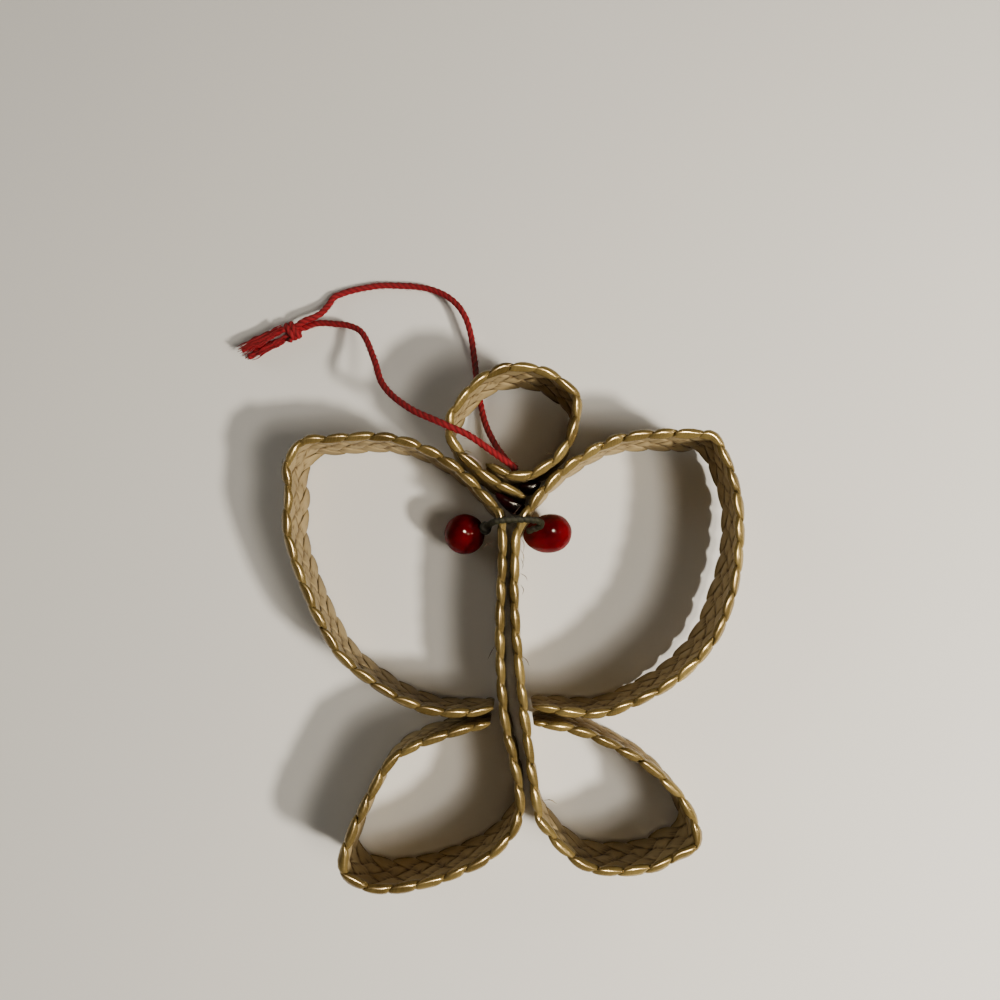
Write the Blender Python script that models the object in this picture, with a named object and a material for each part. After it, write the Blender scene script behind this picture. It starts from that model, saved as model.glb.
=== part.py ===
"""Hanging ornament of plaited straw: two long bands bent to wings, a head ring, two berries, a cord.

The ornament lies on its back edges: +X right, +Y towards the head ring, +Z up through the band width.
Route points are in millimetres and are turned to metres where a shape is made.
"""

import math

import bmesh
import bpy
import numpy as np
from mathutils import Matrix, Vector
from mathutils.geometry import interpolate_bezier

MM = 0.001

# The plaited band, standing on edge
BAND_WIDTH = 13.0
EDGE_HALF_THICKNESS = 1.0
WEB_HALF_THICKNESS = 0.72
EDGE_FLAT = 0.55
EDGE_HEIGHT = 1.2
FOLD_PITCH = 4.54
STATIONS_PER_FOLD = 3
FOLD_NOTCH_DEPTH = 0.38
FOLD_NOTCH_PINCH = 0.14
END_TAPER_LENGTH = 5.0
END_THICKNESS_SHARE = 0.62
END_WIDTH_LOSS = 0.8

# The ring tips up towards its far side, which rests on the cord, and the upper right wing rises outwards
RING_LIFT_START = 24.0
RING_LIFT_PER_MM = 0.1
WING_LIFT_START = 14.0
WING_LIFT_PER_MM = 0.07
WAIST_Y = -18.0
WAIST_EASE = 2.0

# How far the right band's lower edge stands out from under its upper edge, by distance along the band
RIGHT_LEAN = (
    (0.0, 0.0), (24.0, -0.5), (44.0, -0.5), (54.0, 0.6), (62.0, 1.2), (72.0, 0.9), (78.0, -0.4), (90.0, 0.0),
)
UPRIGHT = ((0.0, 0.0),)

# Berries, wire and cord
LEFT_BERRY_RADIUS = 3.9
LEFT_BERRY_CENTRE = (-8.65, 15.5, 5.0)
RIGHT_BERRY_HALF = (4.65, 3.7, 3.7)
RIGHT_BERRY_CENTRE = (7.3, 15.5, 6.2)
RIGHT_BERRY_TURN = math.radians(9)
RIGHT_BERRY_TAPER = 0.12
WIRE_RADIUS = 0.58
WIRE_NECK_SHARE = 1.8
CORD_RADIUS = 0.7
KNOT_HALF = (1.45, 2.15, 1.5)
KNOT_CENTRE = (-44.8, 57.7, 1.55)
KNOT_TURN = math.radians(24)

# Glue pads, between these heights
GLUE_BOTTOM = 1.6
GLUE_TOP = 8.6
GLUE_EDGE_ROUND = 0.25

HANDLE_SHARE = 0.36
CURVE_STEPS = 8

LEFT_ROUTE = (
    (-2.9, -16.1), (-7.0, -16.8), (-16.1, -15.9), (-27.5, -9.5), (-33.2, -3.0), (-40.7, 14.3),
    (-41.0, 23.3), (-41.5, 27.9), (-38.8, 32.2), (-35.1, 32.7), (-22.1, 32.9), (-11.2, 28.2),
    (-3.7, 20.9), (-1.5, 17.9), (-1.8, -3.0), (-1.1, -16.7), (1.8, -31.4), (0.5, -36.8),
    (-6.4, -42.5), (-20.0, -46.3), (-27.2, -45.1), (-29.2, -41.5), (-22.6, -27.2),
    (-19.5, -23.8), (-11.0, -20.4), (-3.5, -18.8),
)
RIGHT_ROUTE = (
    (4.1, -15.8), (13.9, -16.9), (18.9, -16.2), (31.0, -9.6), (38.5, 0.5), (41.5, 18.2),
    (38.2, 31.9), (35.1, 33.2), (21.7, 32.8), (13.4, 29.1), (6.3, 23.0), (2.1, 16.8),
    (1.15, 13.0), (1.2, -3.0), (4.9, -33.4), (6.4, -36.5), (11.7, -41.6), (16.0, -43.2),
    (24.8, -42.7), (28.8, -40.8), (32.3, -38.9), (32.2, -35.5), (29.6, -30.7), (23.1, -24.9),
    (12.0, -19.8), (4.3, -18.7),
)
RING_ROUTE = (
    (-4.4, 28.1), (0.1, 26.0), (4.4, 26.1), (10.5, 31.1), (12.8, 39.0), (11.8, 41.3),
    (5.1, 45.4), (-3.9, 44.5), (-10.7, 37.3), (-11.2, 34.4), (-10.3, 31.5), (-4.6, 25.85),
    (-0.6, 23.6), (3.1, 21.9),
)
WIRE_ROUTE = (
    (-4.7, 16.5, 6.8), (-3.9, 16.9, 8.8), (-3.3, 17.1, 11.6), (-2.5, 17.2, 13.6),
    (-0.8, 17.4, 14.1), (2.0, 17.5, 14.1), (4.4, 17.4, 14.0), (5.6, 17.1, 13.3),
    (5.8, 16.6, 12.3), (5.1, 16.2, 11.5), (4.1, 15.9, 10.8), (3.5, 15.7, 10.0),
)
LEG_A_ROUTE = (
    (1.3, 27.6, 9.5), (-2.9, 30.2, 12.0), (-7.5, 33.0, 14.4), (-11.0, 34.5, 15.05),
    (-13.4, 35.6, 14.9), (-18.6, 38.4, 13.2), (-24.0, 43.6, 9.9), (-26.7, 50.2, 6.8),
    (-29.6, 56.2, 4.3), (-32.3, 58.2, 3.0), (-36.1, 59.2, 1.8), (-39.8, 59.6, 1.0),
    (-42.8, 58.7, 0.75),
)
LEG_B_ROUTE = (
    (1.3, 27.7, 6.3), (-0.8, 30.3, 5.5), (-2.8, 33.4, 4.2), (-4.6, 37.5, 2.4),
    (-5.8, 42.4, 0.8), (-6.6, 47.0, 0.75), (-7.1, 51.8, 1.5), (-7.9, 56.9, 2.7),
    (-9.2, 60.6, 2.9), (-11.4, 63.6, 2.6), (-14.6, 65.9, 1.9), (-18.2, 67.2, 1.2),
    (-21.9, 67.7, 0.8), (-28.0, 67.7, 0.75), (-36.0, 65.6, 0.8), (-37.5, 63.2, 1.4),
    (-39.0, 60.8, 2.6), (-42.5, 59.2, 2.6),
)
TAIL_A_ROUTE = (
    (-46.9, 57.6, 2.4), (-49.0, 56.4, 2.3), (-51.5, 55.1, 2.3), (-54.6, 53.4, 2.5),
)
TAIL_B_ROUTE = (
    (-46.7, 56.4, 0.75), (-48.9, 55.3, 0.75), (-51.3, 54.0, 0.75), (-53.8, 52.5, 0.75),
)
GLUE_V_OUTLINE = (
    (-2.8, 23.0), (-1.9, 21.8), (-0.5, 20.3), (0.75, 19.2), (1.9, 19.4), (2.75, 20.7),
    (1.9, 21.1), (0.5, 21.6), (-1.2, 22.4),
)
GLUE_RING_OUTLINE = (
    (1.6, 24.55), (2.7, 23.7), (3.9, 22.95), (5.0, 24.0), (5.9, 25.3), (4.5, 24.75),
)


def clear_scene():
    for obj in list(bpy.data.objects):
        bpy.data.objects.remove(obj, do_unlink=True)


def make_material(name, colour, roughness, metallic=0.0):
    material = bpy.data.materials.new(name)
    material.use_nodes = True
    shader = material.node_tree.nodes["Principled BSDF"]
    shader.inputs["Base Color"].default_value = (*colour, 1.0)
    shader.inputs["Roughness"].default_value = roughness
    shader.inputs["Metallic"].default_value = metallic
    material.diffuse_color = (*colour, 1.0)
    return material


def smooth_route(points):
    """A smooth line through all the points, which may be flat or in space."""
    knots = [Vector(point).to_3d() for point in points]
    last = len(knots) - 1
    directions = []
    for index in range(len(knots)):
        ahead = knots[min(index + 1, last)]
        behind = knots[max(index - 1, 0)]
        directions.append((ahead - behind).normalized())
    line = [knots[0]]
    for index in range(last):
        start = knots[index]
        end = knots[index + 1]
        reach = (end - start).length * HANDLE_SHARE
        handle_out = start + directions[index] * reach
        handle_in = end - directions[index + 1] * reach
        line += interpolate_bezier(start, handle_out, handle_in, end, CURVE_STEPS + 1)[1:]
    return np.array([tuple(point) for point in line])


def evenly_spaced(line, spacing):
    """Points at equal steps along the line, and how far along it each one is."""
    steps = np.linalg.norm(np.diff(line, axis=0), axis=1)
    along = np.concatenate([[0.0], np.cumsum(steps)])
    count = max(2, round(along[-1] / spacing))
    wanted = np.linspace(0.0, along[-1], count + 1)
    points = np.stack([np.interp(wanted, along, line[:, axis]) for axis in range(3)], axis=1)
    return points, wanted


def fold_notch(step, first):
    """How far a station dips between two folds of the plait's edge, from 0 to 1."""
    return 1.0 if (step - first) % STATIONS_PER_FOLD == 0 else 0.0


def band_section(step, from_end):
    """The band's outline across its length as (across, up): thick folded edges and a thinner web."""
    low = fold_notch(step, 0)
    high = fold_notch(step, 1)
    taper = min(1.0, from_end / END_TAPER_LENGTH)
    share = END_THICKNESS_SHARE + (1.0 - END_THICKNESS_SHARE) * taper
    bottom = FOLD_NOTCH_DEPTH * low + END_WIDTH_LOSS * (1.0 - taper)
    top = BAND_WIDTH - FOLD_NOTCH_DEPTH * high - END_WIDTH_LOSS * (1.0 - taper)
    low_edge = (EDGE_HALF_THICKNESS - FOLD_NOTCH_PINCH * low) * share
    high_edge = (EDGE_HALF_THICKNESS - FOLD_NOTCH_PINCH * high) * share
    web = WEB_HALF_THICKNESS * share
    right_side = [
        (low_edge * EDGE_FLAT, bottom),
        (low_edge, bottom + EDGE_HEIGHT),
        (web, BAND_WIDTH / 2),
        (high_edge, top - EDGE_HEIGHT),
        (high_edge * EDGE_FLAT, top),
    ]
    left_side = [(-across, up) for across, up in reversed(right_side)]
    return right_side + left_side


def ring_lift(x, y):
    return max(0.0, y - RING_LIFT_START) * RING_LIFT_PER_MM


def wing_lift(x, y):
    """The right wing above the waist rises outwards, and the one below lies flat."""
    above_waist = min(1.0, max(0.0, (y - WAIST_Y) / WAIST_EASE))
    return max(0.0, x - WING_LIFT_START) * WING_LIFT_PER_MM * above_waist


def no_lift(x, y):
    return 0.0


def make_band(name, route, lift, lean, material):
    """A plaited band that stands on edge along its route: a grid wrapped round it, seam closed, ends capped."""
    centres, along = evenly_spaced(smooth_route(route), FOLD_PITCH / STATIONS_PER_FOLD)
    tangents = np.gradient(centres, axis=0)
    tangents /= np.linalg.norm(tangents, axis=1)[:, None]
    stations = len(centres)
    corners = len(band_section(0, 0.0))
    mesh = bmesh.new()
    bmesh.ops.create_grid(mesh, x_segments=stations - 1, y_segments=corners, size=0.5)
    mesh.verts.ensure_lookup_table()
    for index, vert in enumerate(mesh.verts):
        corner, step = divmod(index, stations)
        from_end = min(along[step], along[-1] - along[step])
        across, up = band_section(step, from_end)[corner % corners]
        across += np.interp(along[step], *zip(*lean)) * (1.0 - up / BAND_WIDTH)
        centre = centres[step]
        tangent = tangents[step]
        x = centre[0] + tangent[1] * across
        y = centre[1] - tangent[0] * across
        vert.co = Vector((x, y, up + lift(centre[0], centre[1]))) * MM
    bmesh.ops.remove_doubles(mesh, verts=mesh.verts, dist=1e-7)
    bmesh.ops.holes_fill(mesh, edges=mesh.edges, sides=0)
    return finish(mesh, name, material)


def finish(mesh, name, material):
    """Turns the working mesh into a named object with its material, shaded smooth but for flat ends."""
    bmesh.ops.recalc_face_normals(mesh, faces=mesh.faces)
    for face in mesh.faces:
        face.smooth = len(face.verts) <= 4
    data = bpy.data.meshes.new(name)
    mesh.to_mesh(data)
    mesh.free()
    data.materials.append(material)
    obj = bpy.data.objects.new(name, data)
    ornament.objects.link(obj)
    return obj


def make_berry(name, half, centre, turn, taper, material):
    """A berry: a sphere stretched to its half sizes, thinner by the taper towards its stem at -X."""
    mesh = bmesh.new()
    bmesh.ops.create_uvsphere(
        mesh, u_segments=16, v_segments=10, radius=1.0, matrix=Matrix.Rotation(math.pi / 2, 4, "Y")
    )
    place = Matrix.Translation(Vector(centre)) @ Matrix.Rotation(turn, 4, "Z")
    for vert in mesh.verts:
        across = 1.0 + taper * vert.co.x
        shaped = Vector((vert.co.x * half[0], vert.co.y * half[1] * across, vert.co.z * half[2] * across))
        vert.co = (place @ shaped) * MM
    return finish(mesh, name, material)


def make_tube(name, route, spacing, radius, shares, material):
    """A round cord or wire along its route. Shares widen it at its first points."""
    centres, _ = evenly_spaced(smooth_route(route), spacing)
    data = bpy.data.curves.new(name, "CURVE")
    data.dimensions = "3D"
    data.bevel_depth = radius * MM
    data.bevel_resolution = 2
    data.use_fill_caps = True
    spline = data.splines.new("POLY")
    spline.points.add(len(centres) - 1)
    for index, point in enumerate(spline.points):
        point.co = (*(Vector(centres[index]) * MM), 1.0)
        point.radius = shares[index] if index < len(shares) else 1.0
    spline.use_smooth = True
    data.materials.append(material)
    obj = bpy.data.objects.new(name, data)
    ornament.objects.link(obj)
    return obj


def make_pad(name, outline, material):
    """A glue pad: its outline as a face, raised to its height, all its edges rounded."""
    mesh = bmesh.new()
    corners = [mesh.verts.new(Vector((x, y, GLUE_BOTTOM)) * MM) for x, y in outline]
    floor = mesh.faces.new(corners)
    raised = bmesh.ops.extrude_face_region(mesh, geom=[floor])["geom"]
    tops = [item for item in raised if isinstance(item, bmesh.types.BMVert)]
    bmesh.ops.translate(mesh, verts=tops, vec=Vector((0.0, 0.0, GLUE_TOP - GLUE_BOTTOM)) * MM)
    bmesh.ops.bevel(
        mesh, geom=mesh.edges[:], offset=GLUE_EDGE_ROUND * MM, segments=1, profile=0.5, affect="EDGES"
    )
    return finish(mesh, name, material)


clear_scene()
ornament = bpy.data.collections.new("straw_ornament")
bpy.context.scene.collection.children.link(ornament)

straw = make_material("plaited_straw", (0.50, 0.36, 0.14), 0.45)
lacquer = make_material("red_lacquer", (0.42, 0.012, 0.015), 0.12)
green_wrap = make_material("green_wrapped_wire", (0.05, 0.075, 0.05), 0.6)
glue = make_material("dark_glue", (0.02, 0.012, 0.01), 0.15)
red_cord = make_material("red_cotton_cord", (0.42, 0.025, 0.02), 0.8)

make_band("left_band", LEFT_ROUTE, no_lift, UPRIGHT, straw.copy())
make_band("right_band", RIGHT_ROUTE, wing_lift, RIGHT_LEAN, straw.copy())
make_band("head_ring", RING_ROUTE, ring_lift, UPRIGHT, straw.copy())
make_pad("glue_pad_v", GLUE_V_OUTLINE, glue.copy())
make_pad("glue_pad_ring", GLUE_RING_OUTLINE, glue.copy())
left_half = (LEFT_BERRY_RADIUS,) * 3
make_berry("berry_left", left_half, LEFT_BERRY_CENTRE, 0.0, 0.0, lacquer.copy())
make_berry(
    "berry_right", RIGHT_BERRY_HALF, RIGHT_BERRY_CENTRE, RIGHT_BERRY_TURN, RIGHT_BERRY_TAPER, lacquer.copy()
)
make_tube("berry_wire", WIRE_ROUTE, 0.9, WIRE_RADIUS, (WIRE_NECK_SHARE, WIRE_NECK_SHARE, 1.4), green_wrap)
for cord_name, cord_route in (
    ("cord_leg_a", LEG_A_ROUTE),
    ("cord_leg_b", LEG_B_ROUTE),
    ("cord_tail_a", TAIL_A_ROUTE),
    ("cord_tail_b", TAIL_B_ROUTE),
):
    make_tube(cord_name, cord_route, 2.6, CORD_RADIUS, (), red_cord.copy())
make_berry("cord_knot", KNOT_HALF, KNOT_CENTRE, KNOT_TURN, 0.0, red_cord)
for unused in (straw, lacquer, glue):
    bpy.data.materials.remove(unused)
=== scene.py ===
"""Looks of a hanging ornament of plaited straw, laid out as a Blender add-on and run as a script.

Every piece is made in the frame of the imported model: metres, +X right, +Y towards the head ring, +Z up
through the width of the bands. The plaits are woven straw by straw on a flat band, cut to length and
then bent along the routes of the bands.
"""

import math

import bmesh
import bpy
import numpy as np
from bpy.props import FloatProperty, FloatVectorProperty, IntProperty, PointerProperty
from mathutils import Matrix, Vector, noise
from mathutils.geometry import interpolate_bezier


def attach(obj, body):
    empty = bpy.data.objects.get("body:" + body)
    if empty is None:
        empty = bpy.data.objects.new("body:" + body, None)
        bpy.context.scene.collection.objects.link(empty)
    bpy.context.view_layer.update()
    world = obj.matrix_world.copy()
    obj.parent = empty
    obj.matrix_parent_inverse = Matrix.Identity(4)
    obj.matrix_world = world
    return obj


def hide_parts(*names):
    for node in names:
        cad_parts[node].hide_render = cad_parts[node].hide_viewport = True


bl_info = {
    "name": "Plaited Straw Ornament",
    "version": (1, 0, 0),
    "blender": (4, 5, 0),
    "location": "View3D > Sidebar > Straw Ornament",
    "description": "Makes a winged ornament of plaited straw with its berries, wire and cord",
    "category": "Object",
}

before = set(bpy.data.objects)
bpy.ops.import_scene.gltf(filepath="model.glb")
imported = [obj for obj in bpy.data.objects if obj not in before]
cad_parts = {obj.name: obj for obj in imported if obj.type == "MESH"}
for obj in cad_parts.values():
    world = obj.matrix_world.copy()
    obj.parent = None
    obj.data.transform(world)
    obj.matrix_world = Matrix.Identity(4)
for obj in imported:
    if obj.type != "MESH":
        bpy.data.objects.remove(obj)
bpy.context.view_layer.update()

MM = 0.001

# Reach of a curve's handles as a share of the way to the next point, and steps from point to point
HANDLE_SHARE = 0.36
CURVE_STEPS = 8

# Straws in a plait, rows of a straw round a fold and between two folds, and steps across it
STRAWS = 5
ROWS_IN_FOLD = 6
ROWS_BETWEEN = 16
STEPS_ACROSS = 8

# How far a fold's roundness and its polish reach across the band, and how sharp its ridge is
FOLD_REACH = 1.7 * MM
POLISH_REACH = 1.4 * MM
RIDGE_SHARPNESS = 1.15

# How a band's cut ends are squeezed and rounded: over what length, to what share of its thickness, and by
# what share they end lower
PINCH_LENGTH = 5.0 * MM
PINCHED_SHARE = 0.62
ROUNDED_LENGTH = 1.6 * MM
ROUNDED_SHARE = 0.35
PINCHED_DROP = 0.12
ROUNDED_DROP = 0.08

# How round a cord's plies are, and how deep its grooves go as a share of its radius
PLY_ROUNDNESS = 0.75
GROOVE_DEPTH = 0.24

# Routes of the three bands, seen from above
LEFT_ROUTE = (
    (-0.0029, -0.0161), (-0.0070, -0.0168), (-0.0161, -0.0159), (-0.0275, -0.0095), (-0.0332, -0.0030),
    (-0.0407, 0.0143), (-0.0410, 0.0233), (-0.0415, 0.0279), (-0.0388, 0.0322), (-0.0351, 0.0327),
    (-0.0221, 0.0329), (-0.0112, 0.0282), (-0.0037, 0.0209), (-0.0015, 0.0179), (-0.0018, -0.0030),
    (-0.0011, -0.0167), (0.0018, -0.0314), (0.0005, -0.0368), (-0.0064, -0.0425), (-0.0200, -0.0463),
    (-0.0272, -0.0451), (-0.0292, -0.0415), (-0.0226, -0.0272), (-0.0195, -0.0238), (-0.0110, -0.0204),
    (-0.0035, -0.0188),
)
RIGHT_ROUTE = (
    (0.0041, -0.0158), (0.0139, -0.0169), (0.0189, -0.0162), (0.0310, -0.0096), (0.0385, 0.0005),
    (0.0415, 0.0182), (0.0382, 0.0319), (0.0351, 0.0332), (0.0217, 0.0328), (0.0134, 0.0291),
    (0.0063, 0.0230), (0.0021, 0.0168), (0.00115, 0.0130), (0.0012, -0.0030), (0.0049, -0.0334),
    (0.0064, -0.0365), (0.0117, -0.0416), (0.0160, -0.0432), (0.0248, -0.0427), (0.0288, -0.0408),
    (0.0323, -0.0389), (0.0322, -0.0355), (0.0296, -0.0307), (0.0231, -0.0249), (0.0120, -0.0198),
    (0.0043, -0.0187),
)
RING_ROUTE = (
    (-0.0044, 0.0281), (0.0001, 0.0260), (0.0044, 0.0261), (0.0105, 0.0311), (0.0128, 0.0390),
    (0.0118, 0.0413), (0.0051, 0.0454), (-0.0039, 0.0445), (-0.0107, 0.0373), (-0.0112, 0.0344),
    (-0.0103, 0.0315), (-0.0046, 0.02585), (-0.0006, 0.0236), (0.0031, 0.0219),
)

# Routes of the cord's two legs and cut tails, and the knot that binds them
LEG_A_ROUTE = (
    (0.0013, 0.0276, 0.0095), (-0.0029, 0.0302, 0.0120), (-0.0075, 0.0330, 0.0144),
    (-0.0110, 0.0345, 0.01505), (-0.0134, 0.0356, 0.0149), (-0.0186, 0.0384, 0.0132),
    (-0.0240, 0.0436, 0.0099), (-0.0267, 0.0502, 0.0068), (-0.0296, 0.0562, 0.0043),
    (-0.0323, 0.0582, 0.0030), (-0.0361, 0.0592, 0.0018), (-0.0398, 0.0596, 0.0010),
    (-0.0428, 0.0587, 0.00075),
)
LEG_B_ROUTE = (
    (0.0013, 0.0277, 0.0063), (-0.0008, 0.0303, 0.0055), (-0.0028, 0.0334, 0.0042),
    (-0.0046, 0.0375, 0.0024), (-0.0058, 0.0424, 0.0008), (-0.0066, 0.0470, 0.00075),
    (-0.0071, 0.0518, 0.0015), (-0.0079, 0.0569, 0.0027), (-0.0092, 0.0606, 0.0029),
    (-0.0114, 0.0636, 0.0026), (-0.0146, 0.0659, 0.0019), (-0.0182, 0.0672, 0.0012),
    (-0.0219, 0.0677, 0.0008), (-0.0280, 0.0677, 0.00075), (-0.0360, 0.0656, 0.0008),
    (-0.0375, 0.0632, 0.0014), (-0.0390, 0.0608, 0.0026), (-0.0425, 0.0592, 0.0026),
)
TAIL_A_ROUTE = (
    (-0.0469, 0.0576, 0.0024), (-0.0490, 0.0564, 0.0023), (-0.0515, 0.0551, 0.0023),
    (-0.0546, 0.0534, 0.0025),
)
TAIL_B_ROUTE = (
    (-0.0467, 0.0564, 0.00075), (-0.0489, 0.0553, 0.00075), (-0.0513, 0.0540, 0.00075),
    (-0.0538, 0.0525, 0.00075),
)
KNOT_CENTRE = (-0.0448, 0.0577, 0.00155)
KNOT_TURN = math.radians(24)
KNOT_TURNS = (-0.55, 1.75)
KNOT_STEPS = 80
KNOT_ADVANCE = 0.5 * MM
KNOT_HALF_WIDTH = 1.5 * MM
KNOT_HALF_HEIGHT = 0.94 * MM
YARNS_IN_TAIL = 32
YARN_RADIUS = 0.19 * MM
HAIR_RADIUS = 0.035 * MM

# The berries' centres and half sizes, and the wire's route and radius
LEFT_BERRY_CENTRE = (-0.00865, 0.0155, 0.0050)
LEFT_BERRY_HALF = (0.0039, 0.0039, 0.0039)
RIGHT_BERRY_CENTRE = (0.0073, 0.0155, 0.0062)
RIGHT_BERRY_HALF = (0.00465, 0.0037, 0.0037)
WIRE_RADIUS = 0.62 * MM
WIRE_ROUTE = (
    (-0.0047, 0.0165, 0.0068), (-0.0039, 0.0169, 0.0088), (-0.0033, 0.0171, 0.0116),
    (-0.0025, 0.0172, 0.0136), (-0.0008, 0.0174, 0.0141), (0.0020, 0.0175, 0.0141),
    (0.0044, 0.0174, 0.0140), (0.0056, 0.0171, 0.0133), (0.0058, 0.0166, 0.0123),
    (0.0051, 0.0162, 0.0115), (0.0041, 0.0159, 0.0108), (0.0035, 0.0157, 0.0100),
)

# Outlines of the set glue, seen from above, and routes of its pulled threads
GLUE_V_OUTLINE = (
    (-0.0031, 0.0233), (-0.0020, 0.0217), (-0.0005, 0.0201), (0.0008, 0.0189), (0.0021, 0.0192),
    (0.0032, 0.0207), (0.0020, 0.0213), (0.0005, 0.0220), (-0.0013, 0.0228),
)
GLUE_RING_OUTLINE = (
    (0.0012, 0.0249), (0.0027, 0.0235), (0.0041, 0.0226), (0.0054, 0.0238), (0.0063, 0.0255),
    (0.0046, 0.0251),
)
GLUE_THREADS = (
    ((0.0006, 0.0187, 0.0088), (0.0013, 0.0195, 0.0097), (0.0023, 0.0206, 0.0104)),
    ((-0.0049, 0.0143, 0.0052), (-0.0037, 0.0132, 0.0066), (-0.0027, 0.0129, 0.0074)),
    ((-0.0052, 0.0128, 0.0046), (-0.0040, 0.0136, 0.0062), (-0.0027, 0.0142, 0.0071)),
    ((-0.0087, 0.0300, 0.0128), (-0.0070, 0.0292, 0.0133), (-0.0051, 0.0279, 0.0129)),
)

# Routes of loose fibres by both centre strips, at their foot, by the head ring and the left wing's tip
LOOSE_FIBRES = (
    ((0.0022, 0.0142, 0.0112), (0.0027, 0.0133, 0.0104), (0.0026, 0.0118, 0.0098)),
    ((0.0021, 0.0124, 0.0092), (0.0026, 0.0113, 0.0094), (0.0027, 0.0099, 0.0085)),
    ((0.0021, 0.0107, 0.0116), (0.0025, 0.0095, 0.0111), (0.0023, 0.0086, 0.0106)),
    ((0.0020, 0.0079, 0.0104), (0.0030, 0.0073, 0.0099), (0.0033, 0.0065, 0.0093)),
    ((0.0021, 0.0058, 0.0096), (0.0026, 0.0049, 0.0091), (0.0024, 0.0040, 0.0088)),
    ((0.0022, -0.0071, 0.0094), (0.0031, -0.0079, 0.0090), (0.0036, -0.0090, 0.0084)),
    ((-0.0026, -0.0052, 0.0098), (-0.0033, -0.0063, 0.0096), (-0.0040, -0.0078, 0.0090)),
    ((0.0053, -0.0315, 0.0112), (0.0062, -0.0326, 0.0106), (0.0068, -0.0342, 0.0098)),
    ((0.0060, -0.0324, 0.0094), (0.0073, -0.0325, 0.0088), (0.0085, -0.0334, 0.0081)),
    ((-0.0086, 0.0297, 0.0136), (-0.0080, 0.0303, 0.0131), (-0.0069, 0.0301, 0.0118)),
    ((0.0078, 0.0296, 0.0132), (0.0073, 0.0299, 0.0128), (0.0067, 0.0299, 0.0122)),
    ((-0.0416, 0.0277, 0.0121), (-0.0424, 0.0284, 0.0116), (-0.0425, 0.0294, 0.0108)),
)

# How far the ring and the upper right wing rise from the table
RING_LIFT_START = 0.024
RING_LIFT_PER_METRE = 0.1
WING_LIFT_START = 0.014
WING_LIFT_PER_METRE = 0.07
WAIST_Y = -0.018
WAIST_EASE = 0.002

# How far the right band's lower edge stands out from under its upper edge, by distance along the band
RIGHT_LEAN = (
    (0.0, 0.0), (0.024, -0.0005), (0.044, -0.0005), (0.054, 0.0006), (0.062, 0.0012), (0.072, 0.0009),
    (0.078, -0.0004), (0.090, 0.0),
)
UPRIGHT = ((0.0, 0.0),)

# Where the camera stands over the table, and how it is turned
CAMERA_PLACE = (-0.27 * MM, 5.94 * MM)
CAMERA_TURN = (math.radians(6.94), math.radians(0.66), 0.0)

# Colour of the key and ring lamps, and places of the lamps. The ring's sizes are shares of its height
LAMP_COLOUR = "#FFFAF4"
KEY_PLACE = (0.504, -0.28, 0.42)
SPOT_PLACE = (0.04, -0.2, 1.0)
WALL_PLACE = (-0.75, 0.40, 0.22)
RING_LAMP_CENTRE = (0.68, -0.30)
RING_LAMP_RADIUS = 0.15
RING_BULB_SIZE = 0.2

# Brightness round the ring lamp, from its side at the right, away from the viewer and back
RING_BRIGHTNESS = (16, 9, 8, 4.5, 4, 8, 20, 17)

# Bulbs a metre up that show only as reflections, as (x, y, size, watts). They draw crisp lines on the folds
GLINT_BULBS = ((0.12, 0.18, 0.12, 32.0), (0.40, 0.0, 0.10, 4.0), (1.0, 0.05, 0.12, 5.0))


def linear(hex_colour):
    """An sRGB hex colour as linear red, green and blue."""
    channels = [int(hex_colour[start : start + 2], 16) / 255 for start in (1, 3, 5)]
    return tuple(c / 12.92 if c <= 0.04045 else ((c + 0.055) / 1.055) ** 2.4 for c in channels)


def colour_property(name, description, hex_colour):
    return FloatVectorProperty(
        name=name,
        description=description,
        default=linear(hex_colour),
        subtype="COLOR",
        min=0.0,
        max=1.0,
        size=3,
    )


def length_property(name, description, metres):
    return FloatProperty(
        name=name,
        description=description,
        default=metres,
        min=0.0,
        unit="LENGTH",
        subtype="DISTANCE",
        precision=5,
    )


def power_property(name, description, watts):
    return FloatProperty(name=name, description=description, default=watts, min=0.0, unit="POWER")


class PlaitSettings(bpy.types.PropertyGroup):
    """Sizes and colours of the plaited straw bands."""

    width: length_property("Band width", "Height of a band that stands on edge", 0.013)
    fold_pitch: length_property("Fold pitch", "Distance between folds along one edge", 0.00454)
    straw_half: length_property("Straw half thickness", "Half thickness of one flattened straw", 0.00027)
    edge_radius: length_property("Fold radius", "Radius of the middle of a straw round the edge", 0.00082)
    web_depth: length_property("Weave depth", "How far a straw lies from the band's middle", 0.00036)
    edge_notch: length_property("Edge notch", "How far the edge dips between two folds", 0.00042)
    waist: FloatProperty(
        name="Waist", description="How much a fold thins at its ends", default=0.54, min=0, max=0.8
    )
    lean: length_property("Ridge slant", "How far the two ends of a fold's ridge lie to either side", 0.00026)
    bow: length_property("Ridge bow", "How far the middle of a fold's ridge bends to one side", 0.00018)
    lumps: length_property("Lumps", "Height of the uneven places in a straw", 0.00005)
    top_press: length_property("Top press", "How far the top ridges are pressed inwards", 0.0005)
    overlap: FloatProperty(
        name="Overlap", description="Share by which folds run past each other", default=0.06
    )
    skin: colour_property("Straw", "Skin of the straw, burnished at the folds", "#9A834A")
    deep: colour_property("Dull straw", "Duller streaks along the straw", "#604D26")
    face: colour_property("Matt straw", "Unpolished straw on the band's two faces", "#9A855C")
    # Painted shade: the crease colour darkens the straws where they tuck under each other and along their
    # edges.
    crease_shade: colour_property("Crease", "Dirt and shade where straws tuck under", "#36200C")


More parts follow.
